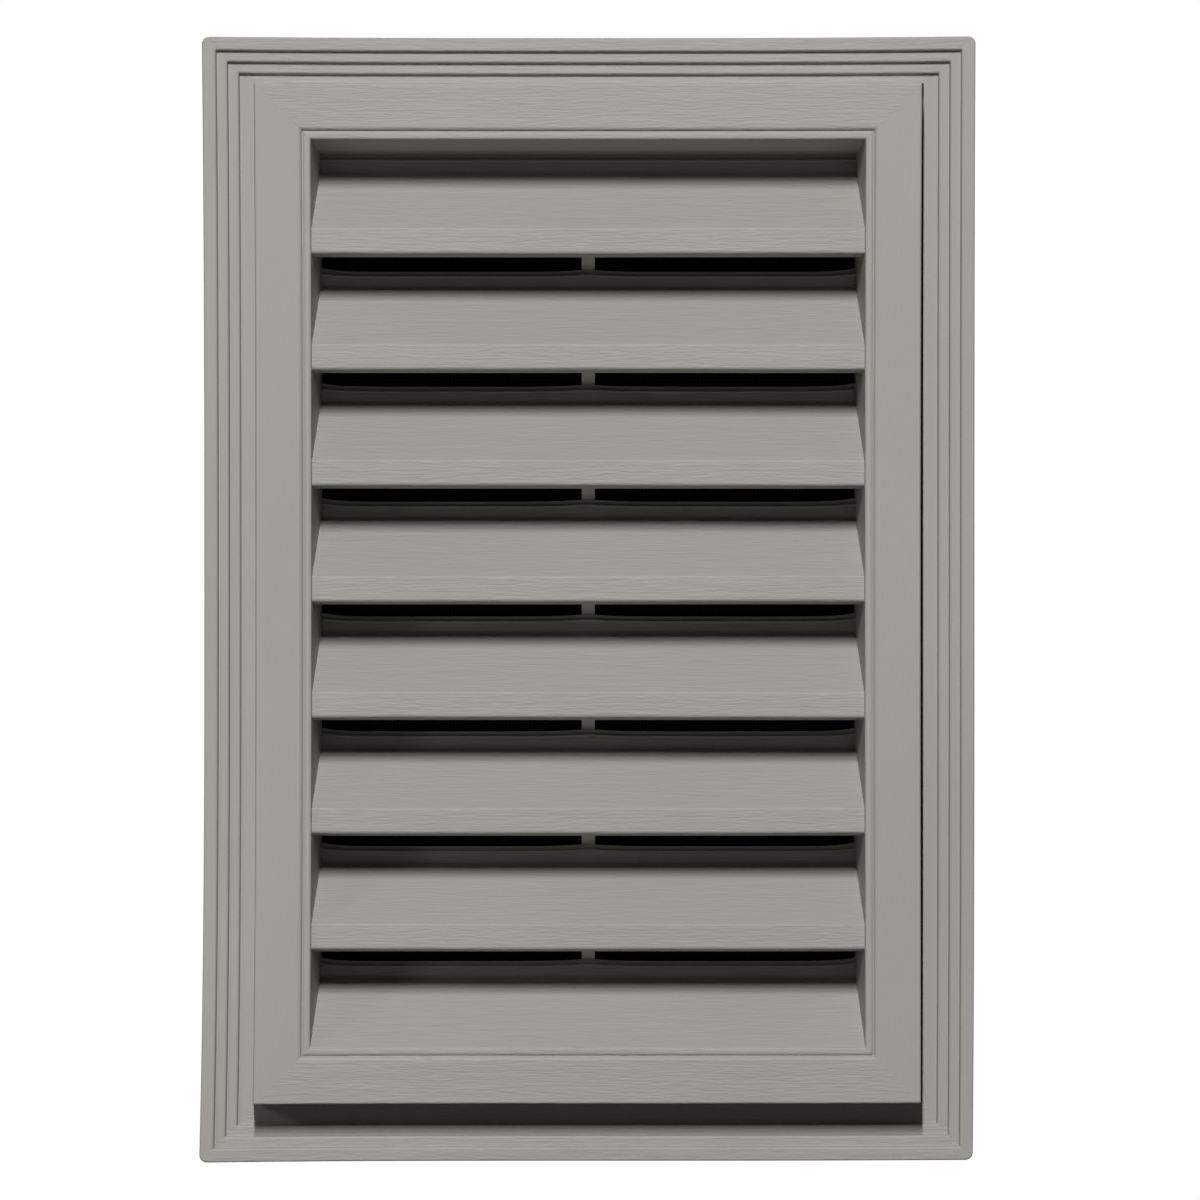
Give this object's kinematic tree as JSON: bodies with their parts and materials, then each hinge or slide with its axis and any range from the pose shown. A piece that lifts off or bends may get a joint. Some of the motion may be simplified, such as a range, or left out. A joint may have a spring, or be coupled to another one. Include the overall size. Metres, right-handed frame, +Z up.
{
  "type": "gable vent",
  "caption": "Rectangular wall vent with a stepped border ring, a raised frame, sloped slats with lips and a fly screen.",
  "frame": {"origin": "centre of the border's outline, in the plane of its rear rim, which lies on the wall", "axes": "+X to the right seen from outside, +Z up, +Y into the wall, so the vent faces -Y"},
  "size_m": [0.3536, 0.052, 0.5148],
  "materials": {
    "moulding": "matt, fine wood grain",
    "screen": "fine woven mesh"
  },
  "bodies": {
    "root": {"vent_body": "moulding", "border_ring": "moulding", "insect_screen": "screen"}
  },
  "joints": []
}
